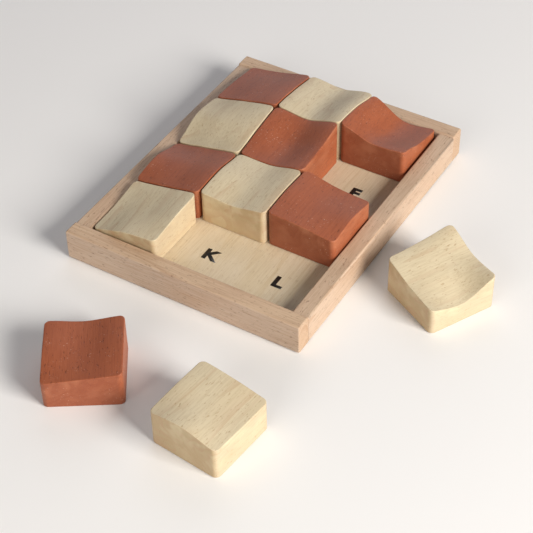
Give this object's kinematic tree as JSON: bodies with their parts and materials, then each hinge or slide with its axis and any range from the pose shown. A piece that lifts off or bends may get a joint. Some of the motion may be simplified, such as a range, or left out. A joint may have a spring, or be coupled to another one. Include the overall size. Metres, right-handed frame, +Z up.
{
  "type": "wave relief block puzzle",
  "caption": "Shallow wooden tray with a lettered floor, and loose square blocks whose wave-carved tops join into one rolling relief.",
  "frame": {"origin": "on the underside of the front rail, at the middle of its length and width, on the table plane", "axes": "+X along the front rail to the right, +Y to the back of the tray, +Z up"},
  "size_m": [0.2634, 0.3438, 0.0447],
  "materials": {
    "rail_wood": "sanded hardwood, thin satin oil, eased edges",
    "panel_wood": "sanded pale plywood face",
    "natural_block": "milled and lightly sanded pale wood, unfinished",
    "stained_block": "matt terracotta stain over milled wood, worn at the crests",
    "dowel_wood": "turned dowel, unfinished",
    "letter_ink": "matt black printing ink"
  },
  "bodies": {
    "tray": {"front_rail": "rail_wood", "back_rail": "rail_wood", "left_rail": "rail_wood", "right_rail": "rail_wood", "floor_panel": "panel_wood", "dowel_front_left_lower": "dowel_wood", "dowel_front_left_upper": "dowel_wood", "dowel_front_right_lower": "dowel_wood", "dowel_front_right_upper": "dowel_wood", "dowel_back_left_lower": "dowel_wood", "dowel_back_left_upper": "dowel_wood", "dowel_back_right_lower": "dowel_wood", "dowel_back_right_upper": "dowel_wood"},
    "block_A_body": {"block_A": "stained_block"},
    "block_B_body": {"block_B": "natural_block"},
    "block_C_body": {"block_C": "stained_block"},
    "block_D_body": {"block_D": "natural_block"},
    "block_E_body": {"block_E": "stained_block"},
    "block_F_body": {"block_F": "natural_block"},
    "block_G_body": {"block_G": "stained_block"},
    "block_H_body": {"block_H": "natural_block"},
    "block_I_body": {"block_I": "stained_block"},
    "block_J_body": {"block_J": "natural_block"},
    "block_K_body": {"block_K": "stained_block"},
    "block_L_body": {"block_L": "natural_block"}
  },
  "joints": [
    {"name": "block_A_lift", "type": "slide", "parent": "tray", "child": "block_A_body", "axis": [0, 0, 1], "range_m": [0, 0.06]},
    {"name": "block_B_lift", "type": "slide", "parent": "tray", "child": "block_B_body", "axis": [0, 0, 1], "range_m": [0, 0.06]},
    {"name": "block_C_slide", "type": "slide", "parent": "tray", "child": "block_C_body", "axis": [0, 1, 0], "range_m": [-0.0484, 0]},
    {"name": "block_D_lift", "type": "slide", "parent": "tray", "child": "block_D_body", "axis": [0, 0, 1], "range_m": [0, 0.06]},
    {"name": "block_E_lift", "type": "slide", "parent": "tray", "child": "block_E_body", "axis": [0, 0, 1], "range_m": [0, 0.06]},
    {"name": "block_F_lift", "type": "slide", "parent": "tray", "child": "block_F_body", "axis": [0, 0, 1], "range_m": [0, 0.06]},
    {"name": "block_G_lift", "type": "slide", "parent": "tray", "child": "block_G_body", "axis": [0, 0, 1], "range_m": [0, 0.06]},
    {"name": "block_H_slide", "type": "slide", "parent": "tray", "child": "block_H_body", "axis": [0, 1, 0], "range_m": [-0.053, 0]},
    {"name": "block_I_slide", "type": "slide", "parent": "tray", "child": "block_I_body", "axis": [0, 1, 0], "range_m": [-0.0545, 0.0484]},
    {"name": "block_J_slide", "type": "slide", "parent": "tray", "child": "block_J_body", "axis": [1, 0, 0], "range_m": [0, 0.1026]},
    {"name": "block_K_lift", "type": "slide", "parent": "tray", "child": "block_K_body", "axis": [0, 0, 1], "range_m": [0, 0.06]},
    {"name": "block_L_lift", "type": "slide", "parent": "tray", "child": "block_L_body", "axis": [0, 0, 1], "range_m": [0, 0.06]}
  ]
}
